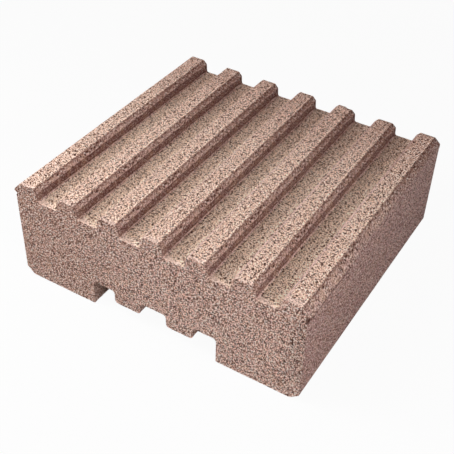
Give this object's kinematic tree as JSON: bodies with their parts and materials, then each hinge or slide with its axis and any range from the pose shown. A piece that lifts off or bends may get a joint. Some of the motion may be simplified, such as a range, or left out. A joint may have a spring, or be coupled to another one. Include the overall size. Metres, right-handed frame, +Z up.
{
  "type": "ribbed concrete pier block",
  "caption": "Low square cast concrete pier block with parallel ribs along the top, and a lobed recess running between two feet underneath.",
  "frame": {"origin": "middle of the footprint, on the ground", "axes": "+Z up, +Y along the ribs towards the rear end face, +X across the ribs towards the right side wall"},
  "size_m": [0.303, 0.286, 0.11],
  "materials": {
    "concrete": "dry-cast concrete with a reddish tan pigment, sandy and finely pitted"
  },
  "bodies": {
    "root": {"block": "concrete"}
  },
  "joints": []
}
